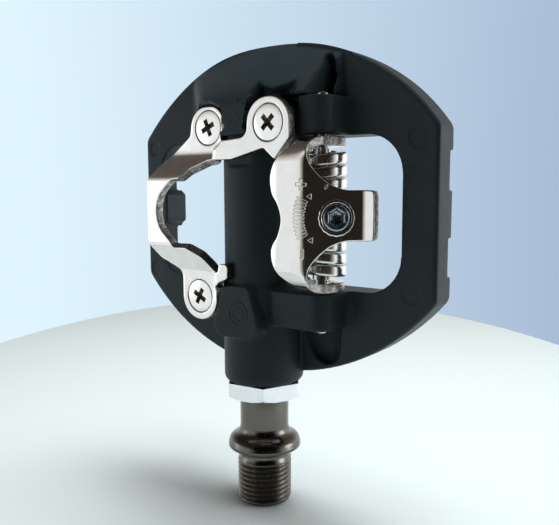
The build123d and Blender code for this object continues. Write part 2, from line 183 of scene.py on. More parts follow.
def pressed_sheet(rim, holes, bend, thickness, soft, step, torn=0.0):
    """Points, faces and face kinds of a sheet cut to an outline, rounded along its cut
    edges and bent. bend takes arrays of flat x and y and gives the outer surface. Kind 0
    is the sheet's surface and kind 1 its cut edge. torn is the height of the ridges that
    the punch leaves across the outer edge."""
    loops = [grown(rim, -soft)] + [grown(hole, soft) for hole in holes]
    low = np.array([[p.x, p.y] for p in rim]).min(0)
    high = np.array([[p.x, p.y] for p in rim]).max(0)
    xs, ys = np.arange(low[0], high[0], step), np.arange(low[1], high[1], step)
    grid = np.array(np.meshgrid(xs, ys)).reshape(2, -1).T + 0.013
    keep = inside(grid, grown(rim, -soft - step * 0.6))
    for hole in holes:
        keep &= ~inside(grid, grown(hole, soft + step * 0.6))
    flat, edges = [], []
    for loop in loops:
        first = len(flat)
        flat += [Vector((p.x, p.y)) for p in loop]
        edges += [(first + k, first + (k + 1) % len(loop)) for k in range(len(loop))]
    flat += [Vector(p) for p in grid[keep]]
    verts, _, faces, origins, _, _ = delaunay_2d_cdt(flat, edges, [], 1, 1e-5)
    where = {}
    for k, sources in enumerate(origins):
        for source in sources:
            where[source] = k
    spots = np.array([[v.x, v.y] for v in verts])
    centres = np.array([spots[list(f)].mean(0) for f in faces])
    good = inside(centres, loops[0])
    for loop in loops[1:]:
        good &= ~inside(centres, loop)
    cap = []
    for face in (f for f, ok in zip(faces, good) if ok):
        a, b, c = spots[list(face[:3])]
        anticlockwise = (b - a)[0] * (c - a)[1] - (b - a)[1] * (c - a)[0] > 0
        cap.append(face if anticlockwise else tuple(reversed(face)))

    def placed(flat_points, depth):
        x, y = flat_points[:, 0], flat_points[:, 1]
        return bend(x, y) - sheet_normals(bend, x, y) * np.reshape(depth, (-1, 1))

    turns = [math.radians(a) for a in (22.5, 45, 67.5, 90)]
    rings = [(soft * (1 - math.sin(a)), soft * (1 - math.cos(a))) for a in turns]
    rings += [(0, thickness - soft)]
    rings += [(soft * (1 - math.cos(a)), thickness - soft + soft * math.sin(a)) for a in turns]
    points = [placed(spots, np.zeros(len(spots)))]
    bottom = len(spots)
    points.append(placed(spots, np.full(len(spots), thickness)))
    total = 2 * len(spots)
    all_faces = list(cap) + [tuple(bottom + k for k in reversed(f)) for f in cap]
    kinds = [0] * len(all_faces)
    half_torn, fully_torn = (2, 6), (3, 4, 5)
    draws = np.random.default_rng(7)
    first = 0
    for number, loop in enumerate([rim] + holes):
        count = len(loop)
        previous = [where[first + k] for k in range(count)]
        ridges = draws.uniform(-1, 0, count) * (torn if number == 0 else 0)
        for ring_number, (inset, depth) in enumerate(rings[:-1]):
            side = -inset if number == 0 else inset
            if ring_number in half_torn:
                side = side + ridges * 0.5
            elif ring_number in fully_torn:
                side = side + ridges
            ring = np.array([[p.x, p.y] for p in grown(loop, side)])
            points.append(placed(ring, np.full(count, depth)))
            here = [total + k for k in range(count)]
            total += count
            for k in range(count):
                all_faces.append((previous[k], here[k], here[(k + 1) % count],
                                  previous[(k + 1) % count]))
                kinds.append(1 if ring_number >= 2 else 0)
            previous = here
        last = [bottom + where[first + k] for k in range(count)]
        for k in range(count):
            all_faces.append((previous[k], last[k], last[(k + 1) % count],
                              previous[(k + 1) % count]))
            kinds.append(0)
        first += count
    return np.vstack(points), all_faces, kinds


def lathe(profile, segments, radius_at=None, axis=Vector((0, 0, 1)), centre=(0, 0, 0),
          closed=False):
    """Points and faces of a turned solid. The profile is (radius, height) pairs; radius_at
    may change a radius by its angle and its place in the profile."""
    turn = axis.to_track_quat("Z", "Y")
    points, faces, rows = [], [], []
    for i, (radius, height) in enumerate(profile):
        if radius < 1e-6:
            rows.append([len(points)] * segments)
            points.append(turn @ Vector((0, 0, height)) + Vector(centre))
            continue
        rows.append(list(range(len(points), len(points) + segments)))
        for k in range(segments):
            angle = math.tau * k / segments
            r = radius_at(angle, i, radius) if radius_at else radius
            spot = Vector((r * math.cos(angle), r * math.sin(angle), height))
            points.append(turn @ spot + Vector(centre))
    pairs = list(zip(rows, rows[1:]))
    if closed:
        pairs.append((rows[-1], rows[0]))
    for a, b in pairs:
        for k in range(segments):
            n = (k + 1) % segments
            corners = []
            for v in (a[k], a[n], b[n], b[k]):
                if v not in corners:
                    corners.append(v)
            if len(corners) > 2:
                faces.append(tuple(corners))
    return points, faces


def hexagon_radius(angle, across_flats):
    """Distance from a hexagon's centre to its side in one direction."""
    sector = (angle + math.pi / 6) % (math.pi / 3) - math.pi / 6
    return across_flats / 2 / math.cos(sector)


def soft_ramp(distance, softness):
    """0 below zero and the distance above it, with the corner rounded."""
    return 0.5 * (distance + np.sqrt(distance * distance + softness * softness))


def soft_step(distance, width, softness):
    """0 rising to 1 over the width, with both corners rounded."""
    return (soft_ramp(distance, softness) - soft_ramp(distance - width, softness)) / width


def smooth(t):
    """Smooth rise from 0 to 1 for a value from 0 to 1."""
    return t * t * (3 - 2 * t)


def merge(*parts):
    """Joins (points, faces) pairs into one."""
    points, faces = [], []
    for more_points, more_faces in parts:
        shift = len(points)
        points += [tuple(p) for p in more_points]
        faces += [tuple(shift + k for k in f) for f in more_faces]
    return points, faces


# ---- materials ------------------------------------------------------------------------
def group_sockets(name, inputs, outputs):
    """Empty node group with float inputs and the given outputs."""
    tree = bpy.data.node_groups.new(name, "ShaderNodeTree")
    for socket, value in inputs:
        made = tree.interface.new_socket(socket, in_out="INPUT", socket_type="NodeSocketFloat")
        made.default_value = value
    for socket in outputs:
        tree.interface.new_socket(socket, in_out="OUTPUT", socket_type="NodeSocketFloat")
    return tree, tree.nodes.new("NodeGroupInput"), tree.nodes.new("NodeGroupOutput")


def noise_node(tree, detail, roughness):
    """Noise texture with its detail set."""
    node = tree.nodes.new("ShaderNodeTexNoise")
    node.inputs["Detail"].default_value = detail
    node.inputs["Roughness"].default_value = roughness
    return node


def math_node(tree, operation, a, b=None, clamp=False):
    """Result of one sum on two numbers or sockets."""
    node = tree.nodes.new("ShaderNodeMath")
    node.operation = operation
    node.use_clamp = clamp
    for socket, value in zip(node.inputs, (a, b)):
        if isinstance(value, (int, float)):
            socket.default_value = value
        elif value is not None:
            tree.links.new(value, socket)
    return node.outputs[0]


def map_range(tree, value, low, high, to_low, to_high):
    """The value moved from one range to another, held inside it."""
    node = tree.nodes.new("ShaderNodeMapRange")
    tree.links.new(value, node.inputs["Value"])
    for socket, amount in zip(("From Min", "From Max", "To Min", "To Max"),
                              (low, high, to_low, to_high)):
        node.inputs[socket].default_value = amount
    return node.outputs["Result"]


def grain_group():
    """Fine surface grain: a height for bump and a slow patchiness."""
    if "Fine grain" in bpy.data.node_groups:
        return bpy.data.node_groups["Fine grain"]
    tree, entry, out = group_sockets("Fine grain", [("Grains per mm", 6.0),
                                                    ("Patches per mm", 0.15)],
                                     ["Height", "Patches"])
    place = tree.nodes.new("ShaderNodeTexCoord").outputs["Object"]
    for socket, target, detail in (("Grains per mm", "Height", 3.0),
                                   ("Patches per mm", "Patches", 4.0)):
        node = noise_node(tree, detail, 0.55)
        tree.links.new(place, node.inputs["Vector"])
        scale = math_node(tree, "MULTIPLY", entry.outputs[socket], 1000.0)
        tree.links.new(scale, node.inputs["Scale"])
        tree.links.new(node.outputs["Fac"], out.inputs[target])
    return tree


def handling_group():
    """Fine scratches and finger smears, as masks from 0 to 1."""
    if "Handling marks" in bpy.data.node_groups:
        return bpy.data.node_groups["Handling marks"]
    tree, entry, out = group_sockets("Handling marks", [("Scratch amount", 0.5),
                                                        ("Smear amount", 0.5)],
                                     ["Scratches", "Smears"])
    place = tree.nodes.new("ShaderNodeTexCoord").outputs["Object"]
    total = None
    for turn, stretch in ((0.4, (5200, 260, 400)), (1.3, (300, 380, 4700))):
        mapping = tree.nodes.new("ShaderNodeMapping")
        mapping.inputs["Rotation"].default_value = (turn, turn * 0.7, turn * 1.9)
        mapping.inputs["Scale"].default_value = stretch
        tree.links.new(place, mapping.inputs["Vector"])
        node = noise_node(tree, 1.0, 0.4)
        node.inputs["Scale"].default_value = 1.0
        tree.links.new(mapping.outputs["Vector"], node.inputs["Vector"])
        line = map_range(tree, node.outputs["Fac"], 0.66, 0.74, 0.0, 1.0)
        total = line if total is None else math_node(tree, "MAXIMUM", total, line)
    scratches = math_node(tree, "MULTIPLY", total, entry.outputs["Scratch amount"])
    tree.links.new(scratches, out.inputs["Scratches"])
    smear = noise_node(tree, 5.0, 0.6)
    smear.inputs["Scale"].default_value = 170.0
    tree.links.new(place, smear.inputs["Vector"])
    patch = map_range(tree, smear.outputs["Fac"], 0.42, 0.68, 0.0, 1.0)
    tree.links.new(math_node(tree, "MULTIPLY", patch, entry.outputs["Smear amount"]),
                   out.inputs["Smears"])
    return tree


def place_group(tree, group, **values):
    """Node group placed in a material, with its own input values."""
    node = tree.nodes.new("ShaderNodeGroup")
    node.node_tree = group
    for socket, value in values.items():
        node.inputs[socket.replace("_", " ")].default_value = value
    return node


def mixed_colour(tree, factor, first, second):
    """Blend of two colours."""
    node = tree.nodes.new("ShaderNodeMix")
    node.data_type = "RGBA"
    node.inputs[6].default_value = (*first, 1)
    node.inputs[7].default_value = (*second, 1)
    tree.links.new(factor, node.inputs[0])
    return node.outputs[2]


def bumped(tree, height, strength, distance, normal=None):
    """Normal bent by a height, in millimetres, on top of another normal."""
    node = tree.nodes.new("ShaderNodeBump")
    node.inputs["Strength"].default_value = strength
    node.inputs["Distance"].default_value = distance * MM
    tree.links.new(height, node.inputs["Height"])
    if normal:
        tree.links.new(normal, node.inputs["Normal"])
    return node.outputs["Normal"]


def finish_material(name, base, second, metallic, rough, rough_spread, grains, grain_depth,
                    patches, scratches, smears, scratch_depth=0.004, **constants):
    """Material of one finish. Its colour drifts from base to second in slow patches, its
    roughness follows smears, and grain and scratches give the bump."""
    if name in bpy.data.materials:
        return bpy.data.materials[name]
    material = bpy.data.materials.new(name)
    material.use_nodes = True
    tree = material.node_tree
    shader = tree.nodes["Principled BSDF"]
    shader.inputs["Metallic"].default_value = metallic
    for socket, value in constants.items():
        shader.inputs[socket.replace("_", " ")].default_value = value
    grain = place_group(tree, grain_group(), Grains_per_mm=grains, Patches_per_mm=patches)
    marks = place_group(tree, handling_group(), Scratch_amount=scratches, Smear_amount=smears)
    drift = map_range(tree, grain.outputs["Patches"], 0.35, 0.65, 0.0, 1.0)
    tree.links.new(mixed_colour(tree, drift, base, second), shader.inputs["Base Color"])
    uneven = math_node(tree, "MULTIPLY", marks.outputs["Smears"], rough_spread)
    worn = math_node(tree, "MULTIPLY", marks.outputs["Scratches"], 0.25)
    both = math_node(tree, "ADD", uneven, worn)
    tree.links.new(math_node(tree, "ADD", both, rough, clamp=True),
                   shader.inputs["Roughness"])
    first = bumped(tree, grain.outputs["Height"], 1.0, grain_depth)
    last = bumped(tree, marks.outputs["Scratches"], 1.0, -scratch_depth, first)
    tree.links.new(last, shader.inputs["Normal"])
    return material


def black_nylon():
    return finish_material("Moulded nylon", (0.0200, 0.0300, 0.0335), (0.0240, 0.0350, 0.0390),
                           0.0, 0.42, 0.10, 7.0, 0.010, 0.08, 0.15, 0.5,
                           Specular_IOR_Level=0.13)


def nickel_plate():
    return finish_material("Bright nickel plate", (0.80, 0.785, 0.755), (0.745, 0.725, 0.69),
                           1.0, 0.115, 0.08, 5.0, 0.0035, 0.3, 0.35, 0.7)


def polished_nickel():
    return finish_material("Polished nickel", (0.80, 0.785, 0.755), (0.76, 0.74, 0.70),
                           1.0, 0.085, 0.07, 4.0, 0.0030, 0.3, 0.45, 0.8)


def sheared_steel():
    """Torn edge of punched sheet: ridges that run through the sheet's thickness."""
    name = "Sheared edge"
    if name in bpy.data.materials:
        return bpy.data.materials[name]
    material = finish_material(name, (0.62, 0.60, 0.57), (0.26, 0.24, 0.22), 1.0, 0.26, 0.18,
                               3.5, 0.06, 0.9, 0.2, 0.9)
    tree = material.node_tree
    place = tree.nodes.new("ShaderNodeTexCoord").outputs["Object"]
    mapping = tree.nodes.new("ShaderNodeMapping")
    mapping.inputs["Scale"].default_value = (2600, 160, 2600)
    tree.links.new(place, mapping.inputs["Vector"])
    ridges = noise_node(tree, 2.0, 0.5)
    ridges.inputs["Scale"].default_value = 1.0
    tree.links.new(mapping.outputs["Vector"], ridges.inputs["Vector"])
    shader = tree.nodes["Principled BSDF"]
    below = shader.inputs["Normal"].links[0].from_socket
    tree.links.new(bumped(tree, ridges.outputs["Fac"], 1.0, 0.16, below),
                   shader.inputs["Normal"])
    return material


def zinc_screw():
    return finish_material("Bright zinc", (0.84, 0.83, 0.80), (0.78, 0.77, 0.74), 1.0, 0.16,
                           0.08, 8.0, 0.004, 0.4, 0.5, 0.5)


# Driver recess material: darker, browner steel that is painted shade inside the screws' cross
# recess
def recess_painted_shade():
    return finish_material("Driver recess", (0.50, 0.45, 0.37), (0.30, 0.27, 0.22), 1.0, 0.35,
                           0.1, 8.0, 0.01, 0.6, 0.3, 0.5)


def turned_alloy():
    return finish_material("Bright turned alloy", (0.88, 0.89, 0.91), (0.83, 0.84, 0.87), 1.0,
                           0.20, 0.06, 9.0, 0.004, 0.2, 0.35, 0.4)


def dark_spindle():
    return finish_material("Dark polished steel", (0.150, 0.138, 0.122), (0.125, 0.115, 0.102),
                           1.0, 0.17, 0.06, 7.0, 0.003, 0.15, 0.4, 0.5)


def ground_steel():
    return finish_material("Ground steel", (0.60, 0.60, 0.61), (0.54, 0.54, 0.55), 1.0, 0.24,
                           0.06, 9.0, 0.004, 0.3, 0.4, 0.4)


def drawn_wire():
    return finish_material("Drawn spring wire", (0.80, 0.79, 0.75), (0.70, 0.68, 0.64), 1.0,
                           0.18, 0.10, 6.0, 0.005, 0.35, 0.6, 0.6)


def blued_steel():
    return finish_material("Blued steel", (0.30, 0.34, 0.40), (0.22, 0.25, 0.30), 1.0, 0.24,
                           0.08, 8.0, 0.006, 0.4, 0.4, 0.5)


def dark_rubber():
    return finish_material("Seal rubber", (0.02, 0.02, 0.02), (0.028, 0.027, 0.026), 0.0,
                           0.62, 0.1, 6.0, 0.01, 0.2, 0.1, 0.5)


def plain_polymer():
    return finish_material("Bush polymer", (0.16, 0.155, 0.145), (0.19, 0.185, 0.17), 0.0,
                           0.48, 0.1, 6.0, 0.01, 0.2, 0.2, 0.5)


def knurled_brass():
    return finish_material("Brass", (0.72, 0.53, 0.24), (0.62, 0.44, 0.19), 1.0, 0.28, 0.1,
                           7.0, 0.006, 0.3, 0.4, 0.5)


# ---- platform body --------------------------------------------------------------------
UPPER_MARK, LOWER_MARK = (1.2, 24.1), (1.16, -24.67)
PAD_Y = -11.6
EJECTOR_MARKS = ((42.1, 17.4, 2.5), (41.0, -17.7, 2.5), (39.6, 10.2, 1.5),
                 (-43.2, 17.8, 2.0), (-43.6, -17.8, 2.0))


def softened_copy(node, name, voxel, rounds):
    """Closed, evenly meshed copy of a CAD node with its edges rounded off."""
    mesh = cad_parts[node].data.copy()
    mesh.name = name
    mesh.materials.clear()
    obj = bpy.data.objects.new(name, mesh)
    bpy.context.scene.collection.objects.link(obj)
    remesh = obj.modifiers.new("even mesh", "REMESH")
    remesh.mode = "VOXEL"
    remesh.voxel_size = voxel * MM
    remesh.use_smooth_shade = True
    relax = obj.modifiers.new("rounded edges", "SMOOTH")
    relax.factor, relax.iterations = 0.5, rounds
    graph = bpy.context.evaluated_depsgraph_get()
    done = bpy.data.meshes.new_from_object(obj.evaluated_get(graph), depsgraph=graph)
    bpy.data.objects.remove(obj)
    done.name = name
    return done


def relaxed(co, edges, weight, rounds):
    """Points eased towards their neighbours, each by its own weight."""
    count = np.bincount(edges.ravel(), minlength=len(co))[:, None]
    for _ in range(rounds):
        total = np.zeros_like(co)
        np.add.at(total, edges[:, 0], co[edges[:, 1]])
        np.add.at(total, edges[:, 1], co[edges[:, 0]])
        co = co + (total / np.maximum(count, 1) - co) * weight[:, None] * 0.6
    return co


# outlines of the two scoops and of the crown-shaped recess above the outboard rear tab
LOWER_SCOOP = ((10.8, 26.0), (11.1, 29.4), (12.4, 33.6), (14.8, 36.8), (17.8, 38.0),
               (20.1, 37.4), (21.8, 35.6), (22.3, 32.6), (22.1, 26.0))
UPPER_SCOOP = ((18.6, 26.0), (18.6, 31.0), (18.5, 34.0), (18.2, 36.4), (18.5, 37.7),
               (19.4, 38.0), (20.5, 37.3), (21.8, 35.6), (22.4, 32.6), (22.3, 26.0))
CROWN = ((4.4, 26.0), (5.0, 32.0), (7.8, 30.2), (10.8, 29.4), (13.2, 30.2), (15.6, 32.0),
         (17.0, 26.0))
CROWN_Y = -6.2
FACE_Y = 2.5
SCOOP_START, SCOOP_FLOOR = 27.35, FACE_Y + 5.2
# side of the platform, outline, width of the rounded edge, depth and width of the wall
SCOOPS = ((1, UPPER_SCOOP, 1.9, 1.6, 1.0), (-1, LOWER_SCOOP, 4.6, 2.8, 0.4))
RIM_RADIUS, RIM_CENTRE = 68.3, -26.2
EJECTOR_DEPTH = 0.22


def lower_of(heights, softness):
    """Smallest of several heights, with the joins between them rounded."""
    low = heights[0]
    for other in heights[1:]:
        blend = np.clip(0.5 + 0.5 * (other - low) / softness, 0, 1)
        low = other * (1 - blend) + low * blend - softness * blend * (1 - blend)
    return low


def swelling_height(x, dz):
    """Height above y = 0 of the swelling that runs from the pad out to the rim."""
    from_rim = RIM_RADIUS - np.hypot(x, dz - RIM_CENTRE)
    rise = -PAD_Y + FACE_Y
    return lower_of([np.full(len(x), -PAD_Y),
                     -FACE_Y + (from_rim - 0.5) * rise / 13.4,
                     -FACE_Y + (x + 27.0) * rise / 16.0,
                     -FACE_Y + (22.6 - x) * rise / 1.6], 2.6)


def edge_distance(x, y, outline):
    """Distance of each point to the nearest side of an open outline."""
    nearest = np.full(len(x), 1e9)
    for (ax, ay), (bx, by) in zip(outline, outline[1:]):
        along = ((x - ax) * (bx - ax) + (y - ay) * (by - ay)) / ((bx - ax) ** 2 + (by - ay) ** 2)
        along = np.clip(along, 0, 1)
        nearest = np.minimum(nearest, np.hypot(x - ax - along * (bx - ax),
                                               y - ay - along * (by - ay)))
    return nearest


def raise_swelling(co):
    """Moves the outboard face out to the swelling and says which points are in the crown."""
    x, y, dz = co[:, 0].copy(), co[:, 1].copy(), co[:, 2] - PLATFORM_Z
    flat = np.stack([x, dz], 1)
    old_scoop = (dz > SCOOP_START) & (x > 9.0) & (x < 24.5) & (y < SCOOP_FLOOR)
    bare = (dz > 19.2) & ~inside(flat, grown(front_claw_rim(0.5), 0.35))
    bare &= (y < FACE_Y + 0.6) | old_scoop
    bare &= (dz > 26.0) | (x < -15.0) | (y < -8.0)
    bare &= (x < 16.4) | (dz > SCOOP_START)
    height = swelling_height(x, dz)
    crown = inside(flat, [Vector(p) for p in CROWN])
    sunk = np.clip(edge_distance(x, dz, CROWN) / 1.1, 0, 1) * crown
    height = height - sunk * np.maximum(height + CROWN_Y, 0)
    above_face = height > -FACE_Y + 0.05
    raised = bare & (above_face | (y < FACE_Y - 0.4) | old_scoop)
    co[:, 1] = np.where(raised, np.minimum(-height, FACE_Y), y)
    return crown


def swelling_weight(co, crown):
    """How far each point of the swelling is eased, from 0 to 1."""
    x, y, dz = co[:, 0], co[:, 1], co[:, 2] - PLATFORM_Z
    weight = np.clip((dz - 24.5) / 3, 0, 1) * np.clip((2.4 - y) / 1.5, 0, 1)
    weight *= np.clip((dz - 27.3) / 0.8, 0, 1) ** (x > 15.5)
    return weight * (np.clip((40.8 - dz) / 1.5, 0, 1) * np.where(crown, 0.5, 1.0))


def sink_scoops(co):
    """Hollows the channel beside each end of the pin."""
    x, y, dz = co[:, 0], co[:, 1], co[:, 2] - PLATFORM_Z
    for side, outline, wide, deep, wall in SCOOPS:
        away = dz * side
        scoop = inside(np.stack([x, away], 1), [Vector(p) for p in outline])
        scoop &= (away > SCOOP_START) & (y < SCOOP_FLOOR)
        edge = edge_distance(x, away, outline)
        reach = np.clip(edge / wide, 0, 1)
        floor = FACE_Y + deep * np.sqrt(1 - (1 - reach) ** 2)
        blend = smooth(np.clip(edge / wall, 0, 1))
        moved = np.where(y > floor, floor, y + (floor - y) * blend)
        y[:] = np.where(scoop, moved, y)


def sink_ejector_marks(co):
    """Shallow round marks in the plate's face."""
    x, y, dz = co[:, 0], co[:, 1], co[:, 2] - PLATFORM_Z
    face = np.abs(y - FACE_Y) < 0.35
    for mark_x, mark_dz, radius in EJECTOR_MARKS:
        away = np.hypot(x - mark_x, dz - mark_dz)
        sunk = np.clip((radius - away) / 0.3 + 0.5, 0, 1)
        y += np.where(face, EJECTOR_DEPTH * sunk, 0)


def body_mesh(voxel):
    """The moulded body: one swelling from pad to rim, the scoops, and ejector marks."""
    mesh = softened_copy("platform_body", "moulded_body", voxel, 3)
    co = np.empty(len(mesh.vertices) * 3)
    mesh.vertices.foreach_get("co", co)
    co = co.reshape(-1, 3) / MM
    edges = np.empty(len(mesh.edges) * 2, int)
    mesh.edges.foreach_get("vertices", edges)
    crown = raise_swelling(co)
    co = relaxed(co, edges.reshape(-1, 2), swelling_weight(co, crown), 8)
    sink_scoops(co)
    sink_ejector_marks(co)
    mesh.vertices.foreach_set("co", (co * MM).ravel())
    mesh.update()
    return mesh


def ring_mark(x, dz, radius, wire):
    """Raised moulded ring on a pad."""
    profile = [(radius + wire * math.cos(a), wire * math.sin(a))
               for a in np.linspace(0, math.tau, 8, endpoint=False)]
    return lathe(profile, 48, axis=Vector((0, -1, 0)), centre=(x, PAD_Y, PLATFORM_Z + dz),
                 closed=True)


def dot_mark(x, dz, radius, height=0.1):
    """Low raised dot on a pad."""
    profile = [(0, height), (radius * 0.6, height * 0.9), (radius, 0), (radius, -0.2), (0, -0.2)]
    return lathe(profile, 12, axis=Vector((0, -1, 0)), centre=(x, PAD_Y, PLATFORM_Z + dz))


# ---- front claw -----------------------------------------------------------------------
SCREWS = ((-10.2, 21.4, -9.4, 24), (10.8, 21.4, -11.6, 44), (-14.0, -21.9, -9.4, 62))
HEAD_R = 4.25
CLAW_SHEET = 2.4
TAB_Y, STRIP_Y, LOOP_Y = -9.4, -11.6, -13.6
JOGGLE_X = -8.0

# corners of the front claw's flat outline: x, dz and corner radius
CLAW_CORNERS = (
    (-15.5, 26.7, 5.2), (-4.9, 26.7, 5.2), (-4.9, 21.8, 2.0), (-6.4, 17.7, 1.2),
    (4.2, 18.4, 2.5), (4.7, 27.4, 6.0), (16.9, 27.4, 6.0), (17.1, 17.9, 0.8),
    (12.6, 12.8, 0.5), (9.3, 15.6, 1.0), (-0.7, 13.2, 1.5), (-9.5, 13.2, 2.0),
    (-14.8, 11.0, 2.0), (-17.3, 8.7, 0.6), (-19.8, 8.4, 0.6), (-25.3, 3.8, 7.0),
    (-25.3, -3.4, 7.0), (-20.6, -7.4, 0.6), (-19.4, -9.2, 0.7), (-15.4, -9.0, 1.5),
    (-11.2, -11.2, 2.0), (-8.6, -15.0, 0.8), (-5.6, -14.8, 0.6), (-5.2, -12.6, 1.0),
    (-2.0, -12.6, 1.3), (-2.4, -16.3, 1.2), (-5.2, -17.4, 0.8), (-8.0, -20.0, 0.9),
    (-8.0, -28.1, 6.0), (-20.2, -28.1, 6.0), (-20.2, -16.0, 2.5), (-26.6, -12.4, 3.0),
    (-29.0, -8.0, 3.5), (-29.0, 8.5, 4.0), (-25.0, 13.6, 3.0), (-16.6, 19.6, 1.5))


def front_claw_rim(step):
    """Flat outline of the front claw."""
    return rounded_loop([corner[:2] for corner in CLAW_CORNERS],
                        [corner[2] for corner in CLAW_CORNERS], step)


def front_claw_bend(x, dz):
    """Outer surface of the front claw: tabs low, loop high, strip between them."""
    rise = soft_step(14.8 - np.abs(dz), 6.0, 0.6)
    height = TAB_Y + (LOOP_Y - TAB_Y) * rise
    line = JOGGLE_X + 2.6 * smooth(np.clip((dz - 15.4) / 2.4, 0, 1))
    joggle = soft_step(x - line, 1.1, 0.3)
    height = height + (STRIP_Y - height) * joggle
    return np.stack([x, height, PLATFORM_Z + dz], 1)


def cross_cutter(x, dz, top, turn):
    """Cross-shaped driver recess, narrowing as it goes down."""
    bm = bmesh.new()
    for arm in (0, 90):
        rows = []
        for depth, half_long, half_wide in ((-0.3, 2.35, 0.66), (0.9, 1.75, 0.52),
                                            (2.0, 0.8, 0.34)):
            row = [bm.verts.new((sx * half_long, sy * half_wide, -depth))
                   for sx, sy in ((1, 1), (-1, 1), (-1, -1), (1, -1))]
            rows.append(row)
        bm.faces.new(rows[0])
        bm.faces.new(rows[-1][::-1])
        for a, b in zip(rows, rows[1:]):
            for k in range(4):
                bm.faces.new((a[k], b[k], b[(k + 1) % 4], a[(k + 1) % 4]))
        bmesh.ops.rotate(bm, verts=[v for row in rows for v in row], cent=(0, 0, 0),
                         matrix=Matrix.Rotation(math.radians(arm), 3, "Z"))
    bmesh.ops.recalc_face_normals(bm, faces=bm.faces)
    place = (Matrix.Translation((x * MM, top * MM, (PLATFORM_Z + dz) * MM))
             @ Vector((0, -1, 0)).to_track_quat("Z", "X").to_matrix().to_4x4()
             @ Matrix.Rotation(math.radians(turn), 4, "Z") @ Matrix.Scale(MM, 4))
    bm.transform(place)
    mesh = bpy.data.meshes.new("recess")
    bm.to_mesh(mesh)
    bm.free()
    return mesh


def screw_mesh(x, dz, top, turn):
    """Countersunk screw with its recess cut into a slightly domed head."""
    shank, tip, end = 2.45, 1.9, -6.8
    profile = [(0, 0.10), (1.5, 0.09), (3.0, 0.03), (HEAD_R - 0.35, -0.02),
               (HEAD_R - 0.1, -0.08), (HEAD_R, -0.22), (HEAD_R, -0.4), (shank, -2.25),
               (shank, end + 0.6), (tip, end), (0, end)]
    points, faces = lathe(profile, 96, axis=Vector((0, -1, 0)),
                          centre=(x, top, PLATFORM_Z + dz))
    body = bpy.data.objects.new("screw", mesh_from("screw", points, faces))
    cutter = bpy.data.objects.new("cut", cross_cutter(x, dz, top, turn))
    for obj in (body, cutter):
        obj.data.materials.append(zinc_screw())
        obj.data.materials.append(recess_painted_shade())
        bpy.context.scene.collection.objects.link(obj)
    # The recess faces take the darker material, which is painted shade in the recess
    cutter.data.polygons.foreach_set("material_index", [1] * len(cutter.data.polygons))
    cut = body.modifiers.new("recess", "BOOLEAN")
    cut.operation = "DIFFERENCE"
    cut.object = cutter
    cut.solver = "EXACT"
    cut.use_self = True
    soften = body.modifiers.new("soft", "BEVEL")
    soften.width = 0.07 * MM
    soften.segments = 2
    soften.limit_method = "ANGLE"
    soften.angle_limit = math.radians(35)
    soften.harden_normals = True
    graph = bpy.context.evaluated_depsgraph_get()
    done = bpy.data.meshes.new_from_object(body.evaluated_get(graph), depsgraph=graph)
    for obj in (body, cutter):
        bpy.data.objects.remove(obj)
    return done


# ---- rear claw ------------------------------------------------------------------------
NOSE_Y, NOSE_ROLL_X, RIDGE_X, SLOPE_END_X = -13.4, 15.6, 22.0, 31.6
TICK_RADIUS = 9.1
EAR_BEND_R, EAR_BEND_AT, EAR_REACH = 6.3, 11.7, 5.5
REAR_SHEET = 2.2
PIN_V = EAR_BEND_AT + EAR_BEND_R * math.pi / 2 + (PIN_Y - NOSE_Y - EAR_BEND_R)


def rear_claw_bend(x, v):
    """Outer surface of the rear claw: nose, back sloping to the tongue, ears folded down."""
    drop = soft_ramp(x - RIDGE_X, 1.5) - soft_ramp(x - SLOPE_END_X, 1.0)
    drop = drop * (1 - smooth(np.clip((np.abs(v) - 12.4) / 3.0, 0, 1)))
    rolled = np.clip((NOSE_ROLL_X - x) / 3.4, 0, None)
    drop = drop + 0.45 * rolled * rolled
    theta = np.clip((np.abs(v) - EAR_BEND_AT) / EAR_BEND_R, 0, math.pi / 2)
    below = np.clip(np.abs(v) - EAR_BEND_AT - EAR_BEND_R * math.pi / 2, 0, None)
    down = EAR_BEND_R * (1 - np.cos(theta)) + below
    side = np.minimum(np.abs(v), EAR_BEND_AT) + EAR_BEND_R * np.sin(theta)
    return np.stack([x, NOSE_Y + drop + down, PLATFORM_Z + np.sign(v) * side], 1)


def rear_claw_outline():
    """Flat outline of the rear claw: tongue, ears and scalloped nose."""
    ear = [(PIN_X + EAR_REACH * math.cos(math.radians(a)),
            PIN_V + EAR_REACH * math.sin(math.radians(a))) for a in range(-40, 221, 20)]
    right = [(34.6, 4.9), (34.1, 5.6), (32.0, 5.75), (29.8, 5.75), (28.6, 5.95), (27.0, 6.7),
             (25.9, 7.6), (24.6, 9.1), (23.5, 10.7), (22.8, 12.2), (22.4, 13.8), (22.3, 15.4),
             (22.4, 17.2), (22.9, 19.0), (23.6, 20.8)]
    left = [(17.0, 21.4), (17.9, 19.6), (18.2, 17.9), (17.5, 16.3), (16.1, 15.0), (14.2, 12.8),
            (12.9, 10.6), (12.3, 8.1), (13.0, 4.9), (14.5, 2.9), (15.4, 0.8)]
    left_low = [(15.4, -2.8), (14.6, -4.9), (13.3, -6.6), (12.6, -8.2), (12.7, -10.2),
                (13.4, -11.9), (14.6, -13.6), (16.2, -15.0), (17.5, -16.3), (18.2, -17.9),
                (17.9, -19.6), (17.0, -21.4)]
    ear_low = [(x, -v) for x, v in reversed(ear)]
    right_low = [(x, -v) for x, v in reversed(right)]
    points = right + ear + left + [(15.7, -1.0)] + left_low + ear_low + right_low
    return smooth_loop(points + [(34.75, -3.0), (34.75, 3.0)], 0.3)


def plate_spot(s, v):
    """Flat x and y of a point s millimetres along the sheet from the screw's centre."""
    ridge = RIDGE_X + 0.2
    from_ridge = (SCREW_AT[0] - ridge) * math.sqrt(2) + s
    x = ridge + (from_ridge / math.sqrt(2) if from_ridge > 0 else from_ridge)
    return x, SCREW_AT[2] + v


